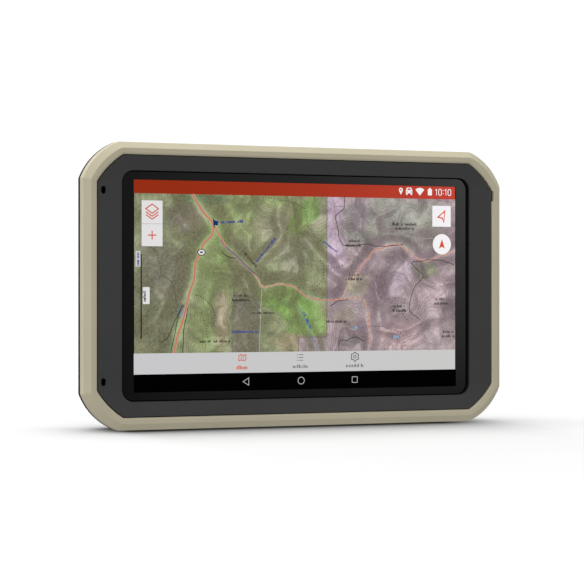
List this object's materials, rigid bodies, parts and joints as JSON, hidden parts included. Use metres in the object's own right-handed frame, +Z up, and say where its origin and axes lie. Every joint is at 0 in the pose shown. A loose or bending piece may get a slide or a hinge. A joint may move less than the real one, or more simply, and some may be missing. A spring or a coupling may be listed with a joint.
{
  "type": "handheld gps unit",
  "caption": "Rugged tablet-style outdoor navigation unit: wide touch display in a chamfered frame, sealed rear housing with keys, hinged port door and rear dock plate.",
  "frame": {"origin": "centre of the footprint, on the plane of the long lower edge the unit stands on", "axes": "+X to the user's right across the screen, +Y from the screen towards the back, +Z up"},
  "size_m": [0.1984, 0.025, 0.1222],
  "materials": {
    "sand_polymer": "fine satin moulding texture",
    "bezel_polymer": "satin, very fine texture",
    "housing_polymer": "coarse matte moulding texture",
    "black_polymer": "smooth satin",
    "cover_glass": "polished with a black printed border",
    "sensor_lens": "polished dark tint",
    "lcd_panel": "lit colour display",
    "backlight": "satin white tray",
    "chassis_alloy": "die-cast, lightly blasted",
    "seal_rubber": "matte silicone",
    "key_rubber": "soft-touch matte",
    "door_rubber": "matte with a fine texture",
    "steel": "bright stamped",
    "black_steel": "black oxide satin",
    "contact_gold": "gold plated, satin",
    "board_laminate": "solder mask satin",
    "cell_wrap": "shrink wrap",
    "ceramic": "unglazed",
    "polyimide": "thin film",
    "cable_jacket": "matte"
  },
  "bodies": {
    "unit": {"front_frame": "sand_polymer", "front_bezel": "bezel_polymer", "light_sensor_window": "sensor_lens", "cover_glass": "cover_glass", "display_panel": "lcd_panel", "backlight_unit": "backlight", "microphone_upper": "steel", "microphone_lower": "steel", "perimeter_gasket": "seal_rubber", "mid_chassis": "chassis_alloy", "rear_housing": "housing_polymer", "dock_plate": "black_steel", "dock_contact_block": "black_polymer", "dock_contact_pins": "contact_gold", "dock_flex": "polyimide", "dock_screw_1": "steel", "dock_screw_2": "steel", "dock_screw_3": "steel", "dock_screw_4": "steel", "housing_screw_lower_left": "black_steel", "housing_screw_upper_left": "black_steel", "housing_screw_lower_right": "black_steel", "housing_screw_upper_right": "black_steel", "housing_screw_lower_middle": "black_steel", "housing_screw_upper_middle": "black_steel", "main_board": "board_laminate", "board_screw_1": "steel", "board_screw_2": "steel", "board_screw_3": "steel", "board_screw_4": "steel", "shield_can": "steel", "thermal_pad": "seal_rubber", "battery_pack": "cell_wrap", "battery_cable": "cable_jacket", "battery_connector": "ceramic", "gnss_antenna": "ceramic", "radio_antenna": "board_laminate", "radio_antenna_cable": "cable_jacket", "display_flex": "polyimide", "speaker_driver": "black_polymer", "speaker_gasket": "seal_rubber", "data_port": "steel", "card_socket": "steel", "port_door_pin": "steel", "rocker_pin": "steel", "key_board": "board_laminate", "power_switch": "steel", "volume_up_switch": "steel", "volume_down_switch": "steel"},
    "power_key": {"power_button": "key_rubber"},
    "volume_key": {"volume_rocker": "key_rubber"},
    "port_cover": {"port_door": "door_rubber", "port_door_seal": "seal_rubber"},
    "card": {"memory_card": "black_polymer"}
  },
  "joints": [
    {"name": "power_press", "type": "slide", "parent": "unit", "child": "power_key", "axis": [0, 0, -1], "range_m": [0, 0.0005], "stiffness_N_per_m": 1500},
    {"name": "volume_rock", "type": "hinge", "parent": "unit", "child": "volume_key", "pos_m": [0.034, 0.001, 0.117], "axis": [0, 1, 0], "range_deg": [-2.8, 2.8]},
    {"name": "port_door_hinge", "type": "hinge", "parent": "unit", "child": "port_cover", "pos_m": [-0.09423, 0.0046, 0.0508], "axis": [0, 0, -1], "range_deg": [0, 95]},
    {"name": "card_slide", "type": "slide", "parent": "unit", "child": "card", "axis": [-1, 0, 0], "range_m": [-0.0006, 0.0028]}
  ]
}
